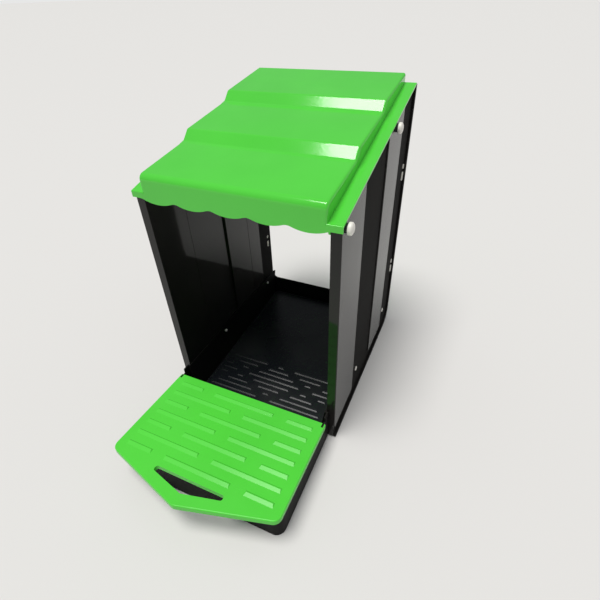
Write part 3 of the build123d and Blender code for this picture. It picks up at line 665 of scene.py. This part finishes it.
@dataclass
class RoofKit(SubAssembly):
    """The roof with its four screwed knobs, washers and nuts."""

    thread_pitch: float = 1.5 * MM
    thread_depth: float = 0.55 * MM
    thread_lead_in: float = 2.0 * MM
    thread_root: float = 0.12                   # shares of a turn's rise: flat root, then flank
    thread_flank: float = 0.72
    tip_narrowing: float = 0.4 * MM
    around: int = 40
    rings_per_turn: int = 10
    shank_radius: float = 3.0 * MM
    rim: float = 3.5 * MM
    rim_radius: float = 1.2 * MM
    rim_steps: int = 5
    dome_rings: int = 14
    dimple_radius: float = 2.4 * MM
    dimple_depth: float = 0.4 * MM

    def build(self) -> list[str]:
        """Dresses the roof, washers and nuts, and makes the four knobs.

        Returns:
            The names of the pieces.
        """
        self.finish_node("roof", "green_plastic")
        for place in Place:
            for side in Side:
                where = f"{place.value}_{side.word}"
                self.finish_node(f"knob_washer_{where}", "washer_rubber")
                self.finish_node(f"knob_nut_{where}", "steel")
                self._knob(place, side)
        return self.pieces

    def _profile(self, length: float, head: float, radius: float) -> list[tuple[float, float]]:
        """Outline of a knob's head, as distance from the shank's tip and radius.

        Args:
            length: the whole knob, from tip to face.
            head: the head's length.
            radius: the head's radius.

        Returns:
            The outline's points, from the foot of the head to the middle of its face.
        """
        start = length - head
        points = [(start, self.shank_radius), (start, radius - self.rim_radius)]
        for step in range(1, self.rim_steps + 1):
            turn = math.radians(90 * step / self.rim_steps)
            points.append((start + self.rim_radius * (1 - math.cos(turn)),
                           radius - self.rim_radius * (1 - math.sin(turn))))
        points.append((start + self.rim, radius))
        dome = head - self.rim
        for step in range(1, self.dome_rings + 1):
            turn = math.radians(90 * step / self.dome_rings)
            reach = radius * math.cos(turn)
            dimple = self.dimple_depth * max(0.0, 1 - (reach / self.dimple_radius) ** 2)
            points.append((start + self.rim + dome * math.sin(turn) - dimple, reach))
        return points

    def _thread(self, shank: float) -> list[Ring]:
        """Rings of a threaded shank, from its tip to the head.

        Args:
            shank: the shank's length.

        Returns:
            The rings in order.
        """
        rings = []
        count = int(shank / self.thread_pitch * self.rings_per_turn)
        for ring in range(count + 1):
            along = shank * ring / count
            taper = min(1.0, along / self.thread_lead_in)
            radii = []
            for corner in range(self.around):
                phase = (along / self.thread_pitch - corner / self.around) % 1.0
                ridge = 1 - abs(2 * phase - 1)
                crest = min(1.0, max(0.0, (ridge - self.thread_root) / self.thread_flank))
                radii.append(self.shank_radius - self.thread_depth * (1 - crest * taper)
                             - self.tip_narrowing * (1 - taper))
            rings.append((radii, along))
        return rings

    def _turned_mesh(self, name: str, rings: list[Ring], tip: float, centre: tuple[float, float],
                     side: Side) -> bpy.types.Mesh:
        """Joins rings about an axis along X into a closed mesh.

        Args:
            name: the mesh's name.
            rings: the rings from the tip outwards. The last one shrinks to the middle of the face.
            tip: the tip's distance from the plane of symmetry.
            centre: Y and Z of the axis.
            side: the side of the nest.

        Returns:
            The mesh.
        """
        mesh = bmesh.new()
        rows = []
        for radii, along in rings[:-1]:
            rows.append([
                mesh.verts.new((
                    side.value * (tip + along),
                    centre[0] + reach * math.cos(math.tau * corner / self.around),
                    centre[1] + reach * math.sin(math.tau * corner / self.around),
                ))
                for corner, reach in enumerate(radii)
            ])
        for one, two in zip(rows, rows[1:]):
            for corner in range(self.around):
                after = (corner + 1) % self.around
                mesh.faces.new((one[corner], one[after], two[after], two[corner]))
        ends = (
            (rows[0], mesh.verts.new((side.value * tip, *centre))),
            (rows[-1], mesh.verts.new((side.value * (tip + rings[-1][1]), *centre))),
        )
        for row, middle in ends:
            for corner in range(self.around):
                mesh.faces.new((row[corner], row[(corner + 1) % self.around], middle))
        bmesh.ops.recalc_face_normals(mesh, faces=mesh.faces)
        data = bpy.data.meshes.new(name)
        mesh.to_mesh(data)
        mesh.free()
        return data

    def _knob(self, place: Place, side: Side) -> None:
        """Makes one knob with a real thread along its shank, in place of its CAD node.

        Args:
            place: where the knob sits along the nest.
            side: the side of the nest.
        """
        where = f"{place.value}_{side.word}"
        name = f"roof_knob_{where}"
        low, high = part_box(name)
        radius = (high.z - low.z) / 2
        length = high.x - low.x
        tip = min(abs(low.x), abs(high.x))
        washer_low, washer_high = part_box(f"knob_washer_{where}")
        head = tip + length - max(abs(washer_low.x), abs(washer_high.x)) - WASHER_GAP
        rings = self._thread(length - head)
        for along, reach in self._profile(length, head, radius):
            rings.append(([reach] * self.around, along))
        centre = ((low.y + high.y) / 2, (low.z + high.z) / 2)
        data = self._turned_mesh(name, rings, tip, centre, side)
        piece = show(f"threaded_knob_{where}", data, self.materials["white_plastic"])
        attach(piece, f"knob_{where}")
        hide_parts(name)
        self.pieces.append(piece.name)


@dataclass
class Fixings(SubAssembly):
    """Base pins, and the white liners of the holes in the rear flanges."""

    def build(self) -> list[str]:
        """Dresses the pins and the liners.

        Returns:
            The names of the pieces.
        """
        for side in Side:
            for place in Place:
                self.finish_node(f"base_pin_{place.value}_{side.word}", "white_plastic")
            for kind in ("slot", "round"):
                self.finish_node(f"fixing_liners_{kind}_{side.word}", "white_plastic")
        return self.pieces


# ------------------------------------------------------------------ studio
@dataclass
class Studio:
    """A pale floor, a soft overhead lamp, a dim sky and the camera."""

    floor_size: float = 400.0
    floor_gap: float = 0.1 * MM
    floor_colour: Colour = (0.69, 0.680, 0.666)
    floor_roughness: float = 0.9
    floor_specular: float = 0.1
    backdrop_colour: Colour = (0.8, 0.8, 0.8)
    backdrop_strength: float = 1.0
    sky_colour: Colour = (0.90, 0.95, 1.0)
    sky_strength: float = 0.27
    lamp_colour: Colour = (1.0, 0.985, 0.96)
    lamp_strength: float = 3.0
    lamp_from: tuple[float, float, float] = (-0.10, -0.22, 0.97)
    lamp_spread: float = 30.0
    eye: tuple[float, float, float] = (0.2958, -0.5037, 0.6499)
    target: tuple[float, float, float] = (0.0787, -0.0412, 0.2600)
    roll: float = -2.0
    lens: float = 24.25
    sensor_width: float = 36.0
    nearest: float = 0.01
    farthest: float = 1000.0

    def build(self) -> None:
        """Sets the stage."""
        self._floor()
        self._sky()
        self._lamp()
        self._camera()

    def _floor(self) -> None:
        """Lays the floor just under the lowest point of the object."""
        low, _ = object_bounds()
        bpy.ops.mesh.primitive_plane_add(size=self.floor_size, location=(0, 0, low[2] - self.floor_gap))
        floor = bpy.context.object
        floor.name = "studio_floor"
        material = bpy.data.materials.new("studio_floor")
        material.use_nodes = True
        shader = material.node_tree.nodes["Principled BSDF"]
        shader.inputs["Base Color"].default_value = (*self.floor_colour, 1.0)
        shader.inputs["Roughness"].default_value = self.floor_roughness
        shader.inputs["Specular IOR Level"].default_value = self.floor_specular
        floor.data.materials.append(material)
        floor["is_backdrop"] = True

    def _sky(self) -> None:
        """Lights the scene from a plain sky, and shows the camera a plain backdrop in its place."""
        world = bpy.data.worlds.new("studio_sky")
        world.use_nodes = True
        sheet = NodeSheet(world.node_tree)
        sky = sheet.tree.nodes["Background"]
        backdrop = sheet.add("ShaderNodeBackground")
        for light, colour, strength in (
            (sky, self.sky_colour, self.sky_strength),
            (backdrop, self.backdrop_colour, self.backdrop_strength),
        ):
            sheet.feed(light.inputs["Color"], colour)
            sheet.feed(light.inputs["Strength"], strength)
        seen = sheet.add("ShaderNodeLightPath").outputs["Is Camera Ray"]
        choice = sheet.add("ShaderNodeMixShader")
        for socket, value in zip(choice.inputs, (seen, sky.outputs[0], backdrop.outputs[0])):
            sheet.feed(socket, value)
        sheet.feed(sheet.tree.nodes["World Output"].inputs["Surface"], choice.outputs[0])
        bpy.context.scene.world = world

    def _lamp(self) -> None:
        """Hangs the lamp."""
        lamp = bpy.data.lights.new("overhead_softbox", "SUN")
        lamp.energy = self.lamp_strength
        lamp.angle = math.radians(self.lamp_spread)
        lamp.color = self.lamp_colour
        hung = bpy.data.objects.new("overhead_softbox", lamp)
        hung.rotation_euler = Vector(self.lamp_from).to_track_quat("Z", "Y").to_euler()
        bpy.context.scene.collection.objects.link(hung)

    def _camera(self) -> None:
        """Aims the camera."""
        data = bpy.data.cameras.new("camera")
        data.lens = self.lens
        data.sensor_width = self.sensor_width
        data.clip_start = self.nearest
        data.clip_end = self.farthest
        camera = bpy.data.objects.new("camera", data)
        bpy.context.scene.collection.objects.link(camera)
        gaze = (Vector(self.target) - Vector(self.eye)).to_track_quat("-Z", "Y")
        turn = gaze.to_matrix().to_4x4() @ Matrix.Rotation(math.radians(self.roll), 4, "Z")
        camera.matrix_world = Matrix.Translation(self.eye) @ turn
        bpy.context.scene.camera = camera


def build_materials(effects: EffectLibrary) -> dict[str, bpy.types.Material]:
    """Builds every finish.

    Args:
        effects: the shared node groups.

    Returns:
        Materials by the record's slot names, and the lid's own green by its node's name.
    """
    panel_low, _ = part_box("right_side_panel")
    inner_line_height = 0.35 * MM
    inner_face = panel_low.x + inner_line_height
    washer_low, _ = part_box("knob_washer_front_right")
    plank_relief, flange_inset, front_margin = 2.5 * MM, 5.0 * MM, 1.5 * MM
    finishes = (
        green_finish("green_polypropylene", roughness=0.11, specular=0.60),
        panel_finish(
            matt_levels=(washer_low.x - WASHER_GAP - plank_relief, inner_face + flange_inset),
            front=panel_low.y + front_margin,
        ),
        tray_finish(),
        floor_finish(),
        white_finish(),
        rubber_finish(),
        steel_finish(),
    )
    materials = {finish.slot: finish.material(effects) for finish in finishes}
    lid = green_finish("green_lid_polypropylene", roughness=0.26, specular=0.26)
    materials["egg_lid"] = lid.material(effects)
    return materials


def main() -> None:
    """Builds the looks around the frame."""
    logging.basicConfig(level=logging.INFO, format="%(name)s: %(message)s")
    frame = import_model()
    bpy.context.scene.view_settings.view_transform = "Standard"
    effects = EffectLibrary()
    materials = build_materials(effects)
    for kit in (SidePanels, BaseAndLid, RoofKit, Fixings):
        pieces = kit(frame["nodes"], materials).build()
        LOG.info("%s: %s", kit.__name__, ", ".join(pieces))
    Studio().build()


if __name__ == "__main__":
    main()
